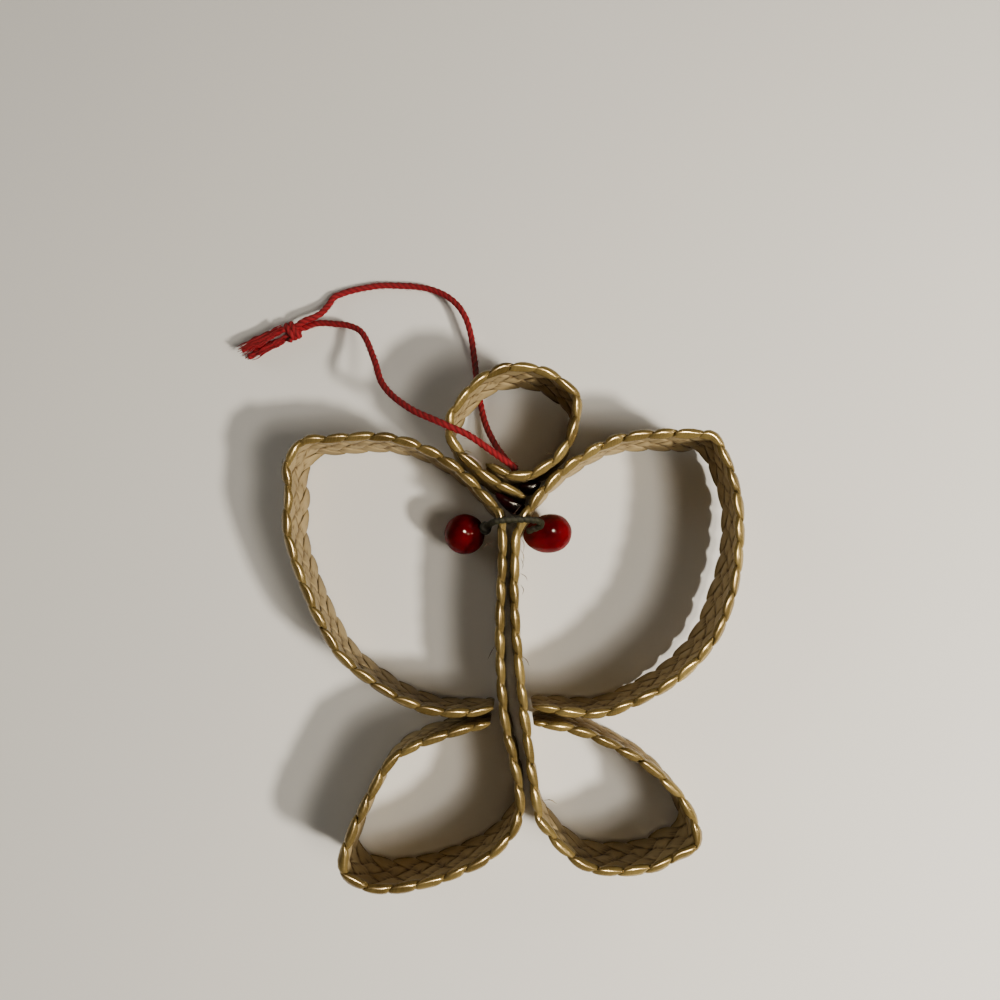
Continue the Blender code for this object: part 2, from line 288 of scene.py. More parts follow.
class CordSettings(bpy.types.PropertyGroup):
    """Sizes and colours of the twisted cotton cord."""

    diameter: length_property("Cord diameter", "Thickness over the plies", 0.00132)
    lay: length_property("Lay", "Length of one full turn of the plies", 0.0039)
    plies: IntProperty(name="Plies", description="Yarns twisted together", default=3, min=2, max=6)
    dye: colour_property("Dye", "Colour of the cotton", "#80171D")
    # Painted shade: the groove colour darkens the cotton down between the plies.
    groove_shade: colour_property("Groove", "Colour deep between the plies", "#44090D")


class BerrySettings(bpy.types.PropertyGroup):
    """Colours of the berries, their wire and the glue."""

    lacquer: colour_property("Lacquer", "Red of the dipped berries", "#58060D")
    deep_lacquer: colour_property("Deep lacquer", "Red where the film is thick", "#3A0407")
    wrap: colour_property("Wire wrap", "Green of the wrapped wire", "#242412")
    # Partly painted shade: the glue is near black, standing also for the shade in the deep gaps under the
    # head ring.
    glue: colour_property("Glue", "Set glue between the bands", "#2A0A0B")


class StageSettings(bpy.types.PropertyGroup):
    """Table, lamps and camera."""

    table: colour_property("Table", "Pale table top", "#DAD5C9")
    lens: FloatProperty(
        name="Lens", description="Focal length", default=24.84, min=10, max=200, unit="CAMERA"
    )
    camera_height: length_property("Camera height", "Lens above the table", 0.1382)
    lamp_height: length_property("Lamp height", "Ring lamp above the table", 0.36)
    lamp_power: power_property("Lamp power", "Ring lamp, all round", 1.8)
    key_power: power_property("Key power", "Small lamp, low at the right", 15.0)
    wall_power: power_property("Wall power", "Pale wall at the left", 3.2)
    sky: FloatProperty(
        name="Room light", description="Strength of the light from all sides", default=0.03, min=0
    )


def add_node(tree, kind, links=(), values=(), stops=(), **settings):
    """Adds one node with its settings, its inputs as (name, value) and its links as (name, output).

    A colour ramp also has its stops, as (position, linear colour).
    """
    node = tree.nodes.new(kind)
    for key, value in settings.items():
        setattr(node, key, value)
    for name, value in values:
        node.inputs[name].default_value = value
    for name, output in links:
        tree.links.new(output, node.inputs[name])
    for index, (position, colour) in enumerate(stops):
        node.color_ramp.elements[index].position = position
        node.color_ramp.elements[index].color = (*colour, 1.0)
    return node


def new_material(name, *values):
    """A new material, its node tree and its shader, whose even inputs are given as (name, value)."""
    material = bpy.data.materials.new(name)
    material.use_nodes = True
    shader = material.node_tree.nodes["Principled BSDF"]
    for input_name, value in values:
        shader.inputs[input_name].default_value = value
    return material, material.node_tree, shader


def uneven_colour(tree, shader, size, detail, stops):
    """Clouds a finish with shades between two colours. The clouds are about as wide as the size given."""
    where = add_node(tree, "ShaderNodeTexCoord")
    cloud = add_node(
        tree,
        "ShaderNodeTexNoise",
        links=[("Vector", where.outputs["Object"])],
        values=[("Scale", 1 / size), ("Detail", detail)],
    )
    colour = add_node(tree, "ShaderNodeValToRGB", links=[("Fac", cloud.outputs["Fac"])], stops=stops)
    tree.links.new(colour.outputs["Color"], shader.inputs["Base Color"])


def small_relief(tree, shader, size, detail, strength, depth):
    """Gives a finish small random bumps, about as wide as the size and as high as the depth given."""
    where = add_node(tree, "ShaderNodeTexCoord")
    grit = add_node(
        tree,
        "ShaderNodeTexNoise",
        links=[("Vector", where.outputs["Object"])],
        values=[("Scale", 1 / size), ("Detail", detail)],
    )
    bump = add_node(
        tree,
        "ShaderNodeBump",
        links=[("Height", grit.outputs["Fac"])],
        values=[("Strength", strength), ("Distance", depth)],
    )
    tree.links.new(bump.outputs["Normal"], shader.inputs["Normal"])
    return bump


def straw_material(name, looks):
    """Flattened rye straw, split, damped and plaited by hand.

    The eye sees matt tan straw on the faces of the band and a waxy golden polish on its folded edges.
    The fibres run along each straw, so the polish catches the light in a line across them. A little metallic
    tints the wax. Some straws are duller, and broken lines of painted shade show where a straw tucks under
    the next and along the straws' side edges.
    """
    grain_width = 0.16 * MM
    grain_length = 5.0 * MM
    blotch_size = 7.0 * MM
    crease_length = 1.8 * MM
    material, tree, shader = new_material(name, ("Anisotropic", 0.8), ("Anisotropic Rotation", 0.25))
    place = add_node(tree, "ShaderNodeUVMap", uv_map="straw_length")
    stretch = add_node(
        tree,
        "ShaderNodeMapping",
        links=[("Vector", place.outputs["UV"])],
        values=[("Scale", (1 / grain_length, 1 / grain_width, 1.0))],
    )
    grain = add_node(
        tree,
        "ShaderNodeTexNoise",
        links=[("Vector", stretch.outputs["Vector"])],
        values=[("Scale", 1.0), ("Detail", 3.0), ("Roughness", 0.6)],
        noise_dimensions="2D",
    )
    where = add_node(tree, "ShaderNodeTexCoord")
    blotch = add_node(
        tree,
        "ShaderNodeTexNoise",
        links=[("Vector", where.outputs["Object"])],
        values=[("Scale", 1 / blotch_size), ("Detail", 2.0)],
    )
    tone = add_node(tree, "ShaderNodeAttribute", attribute_name="straw_tone")
    dull = add_node(
        tree,
        "ShaderNodeMath",
        operation="MULTIPLY_ADD",
        links=[(0, grain.outputs["Fac"]), (2, tone.outputs["Fac"])],
        values=[(1, 0.5)],
    )
    dull_and_blotch = add_node(
        tree,
        "ShaderNodeMath",
        operation="MULTIPLY_ADD",
        links=[(0, blotch.outputs["Fac"]), (2, dull.outputs["Value"])],
        values=[(1, 0.5)],
    )
    polish = add_node(tree, "ShaderNodeAttribute", attribute_name="polish")
    dull_face = tuple(0.78 * channel for channel in looks.face)
    matt = add_node(
        tree,
        "ShaderNodeValToRGB",
        links=[("Fac", dull_and_blotch.outputs["Value"])],
        stops=[(0.25, dull_face), (0.85, looks.face)],
    )
    waxy = add_node(
        tree,
        "ShaderNodeValToRGB",
        links=[("Fac", dull_and_blotch.outputs["Value"])],
        stops=[(0.25, looks.deep), (0.85, looks.skin)],
    )
    skin = add_node(
        tree,
        "ShaderNodeMix",
        data_type="RGBA",
        links=[("Factor", polish.outputs["Fac"]), ("A", matt.outputs["Color"]), ("B", waxy.outputs["Color"])],
    )
    # Painted shade: broken dark strokes in the crease colour where a straw tucks under the next and along its
    # edges.
    tuck = add_node(tree, "ShaderNodeAttribute", attribute_name="tuck")
    gaps = add_node(
        tree,
        "ShaderNodeTexNoise",
        links=[("Vector", where.outputs["Object"])],
        values=[("Scale", 1 / crease_length), ("Detail", 1.0)],
    )
    broken = add_node(
        tree,
        "ShaderNodeMapRange",
        links=[("Value", gaps.outputs["Fac"])],
        values=[("From Min", 0.40), ("From Max", 0.54), ("To Min", 0.4), ("To Max", 1.0)],
    )
    dark = add_node(
        tree,
        "ShaderNodeMath",
        operation="MULTIPLY",
        links=[(0, tuck.outputs["Fac"]), (1, broken.outputs["Result"])],
    )
    coloured = add_node(
        tree,
        "ShaderNodeMix",
        data_type="RGBA",
        links=[("Factor", dark.outputs["Value"]), ("A", skin.outputs["Result"])],
        values=[("B", (*looks.crease_shade, 1.0))],
    )
    tree.links.new(coloured.outputs["Result"], shader.inputs["Base Color"])
    bump = add_node(
        tree,
        "ShaderNodeBump",
        links=[("Height", grain.outputs["Fac"])],
        values=[("Strength", 0.1), ("Distance", 0.05 * MM)],
    )
    tree.links.new(bump.outputs["Normal"], shader.inputs["Normal"])
    fibres = add_node(tree, "ShaderNodeTangent", direction_type="UV_MAP", uv_map="straw_length")
    tree.links.new(fibres.outputs["Tangent"], shader.inputs["Tangent"])
    finish = (("Metallic", 0.0, 0.45), ("Roughness", 0.6, 0.23), ("Specular IOR Level", 0.2, 0.8))
    for input_name, on_faces, on_folds in finish:
        blend = add_node(
            tree,
            "ShaderNodeMapRange",
            links=[("Value", polish.outputs["Fac"])],
            values=[("To Min", on_faces), ("To Max", on_folds)],
        )
        tree.links.new(blend.outputs["Result"], shader.inputs[input_name])
    return material


def cotton_material(name, looks):
    """Mercerised cotton yarn, dyed red and twisted from plies.

    The eye sees soft matt fibre along each ply, and painted shade, a darker red, down in the grooves.
    """
    fibre = 0.14 * MM
    material, tree, shader = new_material(
        name,
        ("Roughness", 0.82),
        ("Specular IOR Level", 0.1),
        ("Sheen Weight", 0.05),
        ("Sheen Roughness", 0.5),
        ("Sheen Tint", (*linear("#E85850"), 1.0)),
    )
    place = add_node(tree, "ShaderNodeUVMap", uv_map="cord_length")
    stretch = add_node(
        tree,
        "ShaderNodeMapping",
        links=[("Vector", place.outputs["UV"])],
        values=[("Scale", (1 / (9 * fibre), 1 / fibre, 1.0))],
    )
    fibres = add_node(
        tree,
        "ShaderNodeTexNoise",
        links=[("Vector", stretch.outputs["Vector"])],
        values=[("Scale", 1.0), ("Detail", 2.0)],
        noise_dimensions="2D",
    )
    # Painted shade down in the grooves between the plies, mixed with the fibre noise.
    depth = add_node(tree, "ShaderNodeAttribute", attribute_name="groove_shade")
    shaded = add_node(
        tree,
        "ShaderNodeMath",
        operation="MULTIPLY_ADD",
        links=[(0, fibres.outputs["Fac"]), (2, depth.outputs["Fac"])],
        values=[(1, 0.45)],
    )
    dyed = add_node(
        tree,
        "ShaderNodeValToRGB",
        links=[("Fac", shaded.outputs["Value"])],
        stops=[(0.15, looks.dye), (1.0, looks.groove_shade)],
    )
    tree.links.new(dyed.outputs["Color"], shader.inputs["Base Color"])
    bump = add_node(
        tree,
        "ShaderNodeBump",
        links=[("Height", fibres.outputs["Fac"])],
        values=[("Strength", 0.6), ("Distance", 0.06 * MM)],
    )
    tree.links.new(bump.outputs["Normal"], shader.inputs["Normal"])
    return material


def lacquer_material(name, looks):
    """Red nitro lacquer over a moulded ball, dipped and dried with a few runs.

    The eye sees a deep clear red, a wet gloss and small specks caught in the film.
    """
    material, tree, shader = new_material(
        name,
        ("Roughness", 0.4),
        ("Specular IOR Level", 0.0),
        ("Coat Weight", 0.4),
        ("Coat IOR", 1.35),
        ("Coat Roughness", 0.05),
        ("Subsurface Weight", 0.7),
        ("Subsurface Radius", (1.0, 0.12, 0.08)),
        ("Subsurface Scale", 2.2 * MM),
    )
    uneven_colour(tree, shader, 3.0 * MM, 2.0, [(0.3, looks.deep_lacquer), (0.65, looks.lacquer)])
    bump = small_relief(tree, shader, 0.7 * MM, 2.0, 0.25, 0.05 * MM)
    tree.links.new(bump.outputs["Normal"], shader.inputs["Coat Normal"])
    return material


def wrapped_wire_material(name, looks):
    """Florist's wire bound with green paper tape: matt, fibrous and mottled."""
    material, tree, shader = new_material(name, ("Roughness", 0.72), ("Specular IOR Level", 0.25))
    uneven_colour(tree, shader, 0.35 * MM, 3.0, [(0.35, linear("#14130A")), (0.65, looks.wrap)])
    small_relief(tree, shader, 0.35 * MM, 3.0, 0.6, 0.08 * MM)
    return material


def glue_material(name, colour, roughness, clear):
    """Hot-melt glue, set: glossy and slightly wavy, near black in the gaps, which is partly painted shade, or
    clear in thin threads.
    """
    material, tree, shader = new_material(
        name,
        ("Base Color", (*colour, 1.0)),
        ("Roughness", roughness),
        ("Transmission Weight", clear),
        ("IOR", 1.48),
        ("Specular IOR Level", 0.04),
    )
    small_relief(tree, shader, 1.2 * MM, 1.0, 0.5, 0.2 * MM)
    return material


def fibre_material(name):
    """Split ends of straw: thin, dry and dull, darker than the polished folds."""
    material, tree, shader = new_material(name, ("Roughness", 0.7))
    uneven_colour(tree, shader, 1.5 * MM, 1.0, [(0.4, linear("#3A2C18")), (0.65, linear("#8A7448"))])
    return material


def table_material(name, looks):
    """Painted table top: pale and matt, with faint clouds in its colour."""
    material, tree, shader = new_material(name, ("Roughness", 0.5), ("Specular IOR Level", 0.0))
    warm = tuple(channel * 0.97 for channel in looks.table)
    uneven_colour(tree, shader, 90 * MM, 2.0, [(0.3, warm), (0.7, looks.table)])
    return material


def smooth_route(points):
    """A smooth line through all the points, which may be flat or in space."""
    knots = [Vector(point).to_3d() for point in points]
    last = len(knots) - 1
    directions = []
    for index in range(len(knots)):
        ahead = knots[min(index + 1, last)]
        behind = knots[max(index - 1, 0)]
        directions.append((ahead - behind).normalized())
    line = [knots[0]]
    for index in range(last):
        start = knots[index]
        end = knots[index + 1]
        reach = (end - start).length * HANDLE_SHARE
        handle_out = start + directions[index] * reach
        handle_in = end - directions[index + 1] * reach
        line += interpolate_bezier(start, handle_out, handle_in, end, CURVE_STEPS + 1)[1:]
    return np.array([tuple(point) for point in line])


def unit(vectors):
    """Vectors in the same directions, each one long."""
    return vectors / np.linalg.norm(vectors, axis=-1, keepdims=True)


def lengths_along(line):
    """How far along a line each of its points is."""
    steps = np.linalg.norm(np.diff(line, axis=0), axis=1)
    return np.concatenate([[0.0], np.cumsum(steps)])


def evenly_spaced(line, spacing):
    """Points at equal steps along the line, and how far along it each one is."""
    along = lengths_along(line)
    count = max(2, round(along[-1] / spacing))
    wanted = np.linspace(0.0, along[-1], count + 1)
    points = np.stack([np.interp(wanted, along, line[:, axis]) for axis in range(3)], axis=1)
    return points, wanted


def smoothstep(value):
    value = np.clip(value, 0.0, 1.0)
    return value * value * (3.0 - 2.0 * value)


def add_object(name, mesh, material):
    """Turns a bmesh into an object of one material in the scene."""
    data = bpy.data.meshes.new(name)
    mesh.to_mesh(data)
    mesh.free()
    data.materials.append(material)
    made = bpy.data.objects.new(name, data)
    bpy.context.scene.collection.objects.link(made)
    return made


def add_piece(name, mesh, material, slot, *nodes):
    """Turns a bmesh into a piece that rides on the root body and stands for its CAD nodes."""
    bmesh.ops.recalc_face_normals(mesh, faces=mesh.faces)
    piece = add_object(name, mesh, material)
    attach(piece, "root")
    if nodes:
        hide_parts(*nodes)
    return piece


def wrapped_tube(rings, uv_name, uv, attributes):
    """A closed tube of quads from ring points (rings, around, 3): a grid wrapped round, its seam merged.

    Each attribute has one value for each point. Both ends stay open.
    """
    count, around = rings.shape[:2]
    mesh = bmesh.new()
    bmesh.ops.create_grid(mesh, x_segments=count - 1, y_segments=around, size=0.5)
    for name in attributes:
        mesh.verts.layers.float.new(name)
    layers = {mesh.verts.layers.float[name]: values for name, values in attributes.items()}
    mesh.verts.ensure_lookup_table()
    mesh.verts.index_update()
    for vert in mesh.verts:
        turn, ring = divmod(vert.index, count)
        vert.co = rings[ring, turn % around]
        for layer, values in layers.items():
            vert[layer] = values[ring, turn % around]
    map_layer = mesh.loops.layers.uv.new(uv_name)
    for face in mesh.faces:
        face.smooth = True
        for loop in face.loops:
            turn, ring = divmod(loop.vert.index, count)
            loop[map_layer].uv = uv[ring, turn]
    bmesh.ops.remove_doubles(mesh, verts=mesh.verts, dist=1e-8)
    return mesh


def leg_rows():
    """Rows of a straw from fold to fold: how far it has turned out of the first fold, how far it has
    crossed the band, and how far it still is from being turned into the next fold."""
    turning = np.linspace(0.0, 1.0, ROWS_IN_FOLD + 1)
    crossing = np.linspace(0.0, 1.0, ROWS_BETWEEN + 1)
    out = np.concatenate([turning[:-1], np.ones(ROWS_BETWEEN + ROWS_IN_FOLD)])
    way = np.concatenate([np.zeros(ROWS_IN_FOLD), crossing, np.ones(ROWS_IN_FOLD - 1)])
    back = np.concatenate([np.ones(ROWS_IN_FOLD + ROWS_BETWEEN + 1), turning[1:-1][::-1]])
    return out, way, back


def over_or_under(crossings):
    """Which face of the band a straw is on, from 1 (front) to -1 (back), by how many straws it has met."""
    woven = -np.cos(math.pi * crossings)
    return np.where(crossings < 1.0, 1.0, np.where(crossings > STRAWS - 1.0, -1.0, woven))


def straw_surface(looks, start, legs, chance):
    """The middle surface of one straw on the flat band as (along, out, up), how much painted shade it gets
    where it is tucked under, and how much it is polished by handling.

    A straw crosses the band in legs. It leaves each fold on the front face and comes to the next one
    on the back. At a fold its rows turn round the edge to a ridge that winds a little from side to side.
    """
    out, way, back = leg_rows()
    across = -0.5 * np.cos(np.linspace(0.0, math.pi, STEPS_ACROSS + 1))
    narrowing = np.abs(2.0 * across) ** 2.5
    size_of_fold = 1.0 + 0.12 * chance.uniform(-1.0, 1.0, legs + 1)
    lean_of_fold = looks.lean * chance.uniform(-1.0, 1.0, legs + 1)
    bow_of_fold = looks.bow * chance.uniform(-1.0, 1.0, legs + 1)
    notch_of_fold = looks.edge_notch * (1.0 + 0.8 * chance.uniform(-1.0, 1.0, legs + 1))
    ridges = bow_of_fold[:, None] * (1.0 - (2.0 * across) ** 2) + lean_of_fold[:, None] * 2.0 * across
    out_of_fold = np.sin(out * math.pi / 2)[:, None] ** RIDGE_SHARPNESS
    into_fold = np.sin(back * math.pi / 2)[:, None] ** RIDGE_SHARPNESS
    rise_from_fold = 1.0 - np.cos(out * math.pi / 2)[:, None] ** RIDGE_SHARPNESS
    drop_to_fold = np.abs(np.cos(back * math.pi / 2))[:, None] ** RIDGE_SHARPNESS
    leg_length = STRAWS * looks.fold_pitch / 2
    surfaces = []
    crease_shades = []
    polished = []
    for leg in range(legs):
        first = looks.edge_radius * size_of_fold[leg] * (1.0 - looks.waist * narrowing)
        second = looks.edge_radius * size_of_fold[leg + 1] * (1.0 - looks.waist * narrowing)
        first_notch = notch_of_fold[leg] * narrowing
        second_notch = notch_of_fold[leg + 1] * narrowing
        span = looks.width - first_notch - second_notch - first - second
        risen = first_notch + first * rise_from_fold + way[:, None] * span + second * drop_to_fold
        near_first = 1.0 - smoothstep(risen / FOLD_REACH)
        near_second = 1.0 - smoothstep((looks.width - risen) / FOLD_REACH)
        depth = looks.web_depth + (first - looks.web_depth) * near_first
        depth = depth + (second - looks.web_depth) * near_second
        spread = across * (1.0 + looks.overlap * (near_first + near_second))
        ridge = ridges[leg] * (1.0 - out_of_fold) + ridges[leg + 1] * (1.0 - into_fold)
        side = over_or_under(STRAWS * risen / looks.width + spread)
        along = start + leg * leg_length + leg_length * risen / looks.width + spread * looks.fold_pitch
        up = risen if leg % 2 == 0 else looks.width - risen
        surfaces.append(np.stack([along, side * depth * out_of_fold * into_fold + ridge, up], axis=2))
        # Painted shade where the straw passes between the faces, under its neighbours.
        crease_shades.append(1.0 - smoothstep((np.abs(side) - 0.3) / 0.3))
        height = np.minimum(risen, looks.width - risen)
        polished.append(1.0 - smoothstep((height - 0.5 * MM) / POLISH_REACH))
    return np.concatenate(surfaces), np.concatenate(crease_shades), np.concatenate(polished), across


def unevenness(along, across, chance):
    """Smooth random heights from -1 to 1 over a straw, about 0.9 mm from one rise to the next."""
    knots = np.arange(0.0, along[-1] + 2 * MM, 0.9 * MM)
    lanes = np.linspace(-0.5, 0.5, 4)
    heights = chance.uniform(-1.0, 1.0, (len(lanes), len(knots)))
    down = np.stack([np.interp(along, knots, lane) for lane in heights], axis=1)
    return np.stack([np.interp(across, lanes, row) for row in down])


def straw_tube(looks, start, legs, tone, chance):
    """One straw of the flat plait as a closed, slightly crowned ribbon."""
    middle, tuck, polish, across = straw_surface(looks, start, legs, chance)
    # Painted shade along both side edges of each straw.
    tuck[:, [0, -1]] = np.maximum(tuck[:, [0, -1]], 0.5)
    normal = unit(np.cross(np.gradient(middle, axis=0), np.gradient(middle, axis=1)))
    crown = looks.straw_half * (1.0 - np.abs(2.0 * across) ** 5) ** 0.5
    along = lengths_along(middle[:, STEPS_ACROSS // 2])
    crown = crown[None, :] + looks.lumps * unevenness(along, across, chance) * (crown > 0)
    front = middle + normal * crown[:, :, None]
    behind = middle - normal * crown[:, :, None]
    rings = np.concatenate([front, behind[:, -2:0:-1]], axis=1)
    along_middle = np.broadcast_to(1.0 - (2.0 * across) ** 2, tuck.shape)
    values = {"tuck": tuck, "polish": polish, "middle": along_middle, "straw_tone": np.full_like(tuck, tone)}
    values = {name: np.concatenate([value, value[:, -2:0:-1]], axis=1) for name, value in values.items()}
    around = rings.shape[1]
    girth = np.arange(around + 1) / around * 2.2 * looks.fold_pitch
    uv = np.stack(np.broadcast_arrays(along[:, None], girth[None, :]), axis=2)
    return wrapped_tube(rings, "straw_length", uv, values)


def cut_to_length(mesh, length):
    """Cuts the plait square at both ends and closes the cuts."""
    for place, outward in ((0.0, -1.0), (length, 1.0)):
        geometry = mesh.verts[:] + mesh.edges[:] + mesh.faces[:]
        bmesh.ops.bisect_plane(
            mesh, geom=geometry, plane_co=(place, 0, 0), plane_no=(outward, 0, 0), clear_outer=True
        )
    bmesh.ops.holes_fill(mesh, edges=mesh.edges, sides=0)


def pour_into(whole, mesh):
    """Adds one bmesh to another and frees it."""
    data = bpy.data.meshes.new("part")
    mesh.to_mesh(data)
    mesh.free()
    whole.from_mesh(data)
    bpy.data.meshes.remove(data)


def flat_plait(looks, length, seed):
    """The whole five-straw plait, flat and cut to length."""
    chance = np.random.default_rng(seed)
    period = STRAWS * looks.fold_pitch
    legs = 2 * (math.ceil(length / period) + 2)
    plait = bmesh.new()
    for straw in range(STRAWS):
        start = straw * looks.fold_pitch - period
        tone = chance.uniform(-0.2, 0.2)
        mesh = straw_tube(looks, start, legs, tone, chance)
        cut_to_length(mesh, length)
        pour_into(plait, mesh)
    return plait


def no_lift(x, y):
    return np.zeros_like(x)


def ring_lift(x, y):
    return np.maximum(0.0, y - RING_LIFT_START) * RING_LIFT_PER_METRE


def wing_lift(x, y):
    """The right wing above the waist rises outwards, and the one below lies flat."""
    above_waist = np.clip((y - WAIST_Y) / WAIST_EASE, 0.0, 1.0)
    return np.maximum(0.0, x - WING_LIFT_START) * WING_LIFT_PER_METRE * above_waist


def bend_along(mesh, looks, route, lift, lean):
    """Stands the flat plait on edge and bends it along its route. Its ends are pinched together, and the
    middle of each ridge along its top is pressed a little inwards."""
    centres, along = evenly_spaced(smooth_route(route), 0.5 * MM)
    behind = np.roll(centres, 2, axis=0)
    behind[:2] = centres[0]
    ahead = np.roll(centres, -2, axis=0)
    ahead[-2:] = centres[-1]
    tangents = unit(ahead - behind)
    flat = np.array([tuple(vert.co) for vert in mesh.verts])
    place = flat[:, 0]
    from_end = np.minimum(place, along[-1] - place)
    taper = np.clip(from_end / PINCH_LENGTH, 0.0, 1.0)
    rounding = np.sqrt(1.0 - (1.0 - np.clip(from_end / ROUNDED_LENGTH, 0.0, 1.0)) ** 2)
    pinch = PINCHED_SHARE + (1.0 - PINCHED_SHARE) * taper
    pinch *= ROUNDED_SHARE + (1.0 - ROUNDED_SHARE) * rounding
    height_share = 1.0 - PINCHED_DROP * (1.0 - taper) - ROUNDED_DROP * (1.0 - rounding)
    height_share *= 1.0 - 2.0 * looks.straw_half / looks.width
    middle = looks.width / 2
    up = middle + (flat[:, 2] - middle) * height_share
    lower_edge_shift = np.interp(place, *zip(*lean)) * (1.0 - up / looks.width)
    left_of_route = flat[:, 1] * pinch - lower_edge_shift
    layer = mesh.verts.layers.float["middle"]
    along_middle = np.array([vert[layer] for vert in mesh.verts])
    pressed = looks.top_press * smoothstep((flat[:, 2] - looks.width + 1.0 * MM) / (1.0 * MM)) * along_middle
    x = np.interp(place, along, centres[:, 0])
    y = np.interp(place, along, centres[:, 1])
    tangent_x = np.interp(place, along, tangents[:, 0])
    tangent_y = np.interp(place, along, tangents[:, 1])
    bent_x = x - tangent_y * left_of_route - pressed * np.clip(x / 0.02, -0.9, 0.9)
    bent_y = y + tangent_x * left_of_route + pressed * 0.4
    bent = np.stack([bent_x, bent_y, up + lift(x, y)], axis=1)
    for vert, point in zip(mesh.verts, bent):
        vert.co = point


def make_plait(name, node, slot, route, lift, lean, seed):
    looks = bpy.context.scene.straw_plait
    _, along = evenly_spaced(smooth_route(route), 0.5 * MM)
    mesh = flat_plait(looks, along[-1], seed)
    bend_along(mesh, looks, route, lift, lean)
    add_piece(name, mesh, straw_material(name + "_straw", looks), slot, node)


def frames_along(centres):
    """For each point of a line in space, two directions square to it that don't twist along it."""
    tangents = unit(np.gradient(centres, axis=0))
    side = unit(np.cross(tangents[0], (0.0, 0.0, 1.0)))
    sides = []
    for tangent in tangents:
        side = unit(side - tangent * np.dot(side, tangent))
        sides.append(side)
    sides = np.array(sides)
    return sides, np.cross(tangents, sides)


def twisted_cord(centres, along, radius, plies, lay, steps_around, shrink=None):
    """A cord of plies twisted round each other, as one closed tube with round ridges and sharp grooves."""
    sides, ups = frames_along(centres)
    around = np.linspace(0.0, 2 * math.pi, steps_around, endpoint=False)
    turned = plies / 2 * (around[None, :] - 2 * math.pi * along[:, None] / lay)
    ridge = np.abs(np.cos(turned)) ** PLY_ROUNDNESS
    reach = radius * (1.0 - GROOVE_DEPTH + GROOVE_DEPTH * ridge)
    if shrink is not None:
        reach = reach * shrink[:, None]
    rings = centres[:, None] + reach[:, :, None] * (
        sides[:, None] * np.cos(around)[None, :, None] + ups[:, None] * np.sin(around)[None, :, None]
    )
    # How deep in a groove each point lies, which the cotton paints as shade.
    groove_shade = (1.0 - ridge) ** 1.5
    girth = np.linspace(0.0, 2 * math.pi * radius, steps_around + 1)
    uv = np.stack(np.broadcast_arrays(along[:, None], girth[None, :] - along[:, None] * 0.8), axis=2)
    mesh = wrapped_tube(rings, "cord_length", uv, {"groove_shade": groove_shade})
    bmesh.ops.holes_fill(mesh, edges=mesh.edges, sides=0)
    return mesh


def joined_route(*routes):
    """The points of several routes as one."""
    return [point for route in routes for point in route]


def make_cord(name, route, nodes):
    """One leg of the loop with its tail."""
    looks = bpy.context.scene.straw_cord
    centres, along = evenly_spaced(smooth_route(route), 0.3 * MM)
    mesh = twisted_cord(centres, along, looks.diameter / 2, looks.plies, looks.lay, 24)
    piece = add_piece(name, mesh, cotton_material(name + "_cotton", looks), "red_cord", *nodes)


def frayed_strands(route, count, chance):
    """Yarns of a cut tail that have come apart. They follow its route, spread out and end unevenly."""
    start, *_, end = [np.array(point) for point in route]
    forward = end - start
    left = np.array((-forward[1], forward[0], 0.0)) / np.linalg.norm(forward[:2])
    strands = []
    for _ in range(count):
        first = chance.uniform(-0.7, 0.7)
        last = first + chance.uniform(-0.5, 0.5)
        reach = chance.uniform(0.7, 1.12)
        rise = chance.uniform(-0.5, 0.9, 2) * MM
        points = []
        for share in np.linspace(-0.08, 1.0, 8):
            wobble = chance.uniform(-0.28, 0.28)
            aside = (first + (last - first) * share + wobble) * MM
            point = start + forward * share * reach + left * aside
            point[2] = max(0.2 * MM, point[2] + rise[0] + (rise[1] - rise[0]) * share)
            points.append(tuple(point))
        strands.append(points)
    return strands


def fuzz_hairs(route, count, radius, chance):
    """Short hairs that stand off a cord, leaning along it."""
    centres, _ = evenly_spaced(smooth_route(route), 0.3 * MM)
    sides, ups = frames_along(centres)
    tangents = unit(np.gradient(centres, axis=0))
    hairs = []
    for _ in range(count):
        at = chance.integers(2, len(centres) - 2)
        turn = chance.uniform(0.0, 2 * math.pi)
        out = sides[at] * math.cos(turn) + ups[at] * math.sin(turn)
        lean = tangents[at] * chance.choice((-1.0, 1.0)) * chance.uniform(0.3, 1.0)
        rise = chance.uniform(0.15, 0.4) * MM
        hair = []
        for share, lift in ((0.0, 0.0), (0.5, 0.9), (1.0, 1.0)):
            point = centres[at] + out * (radius * 0.85 + rise * lift) + lean * share * MM
            point[2] = max(0.05 * MM, point[2])
            hair.append(tuple(point))
        hairs.append(hair)
    return hairs


def make_fray():
    """The frayed ends of both tails, and the fuzz along both legs and tails."""
    looks = bpy.context.scene.straw_cord
    chance = np.random.default_rng(5)
    cotton = cotton_material("frayed_cotton", looks)
    yarns = []
    for route in (TAIL_A_ROUTE, TAIL_B_ROUTE):
        yarns += frayed_strands(route, YARNS_IN_TAIL, chance)
    tails = make_strands("frayed_tails", yarns, YARN_RADIUS, cotton, "red_cord", 0.3 * MM)
    cord_radius = looks.diameter / 2
    fray_radius = 0.9 * MM
    hairs = fuzz_hairs(LEG_A_ROUTE, 150, cord_radius, chance)
    hairs += fuzz_hairs(LEG_B_ROUTE, 170, cord_radius, chance)
    hairs += fuzz_hairs(TAIL_A_ROUTE, 25, fray_radius, chance)
    hairs += fuzz_hairs(TAIL_B_ROUTE, 25, fray_radius, chance)
    fuzz = make_strands("cord_fuzz", hairs, HAIR_RADIUS, cotton, "red_cord", 0.4 * MM, 5)
    return [tails, fuzz]


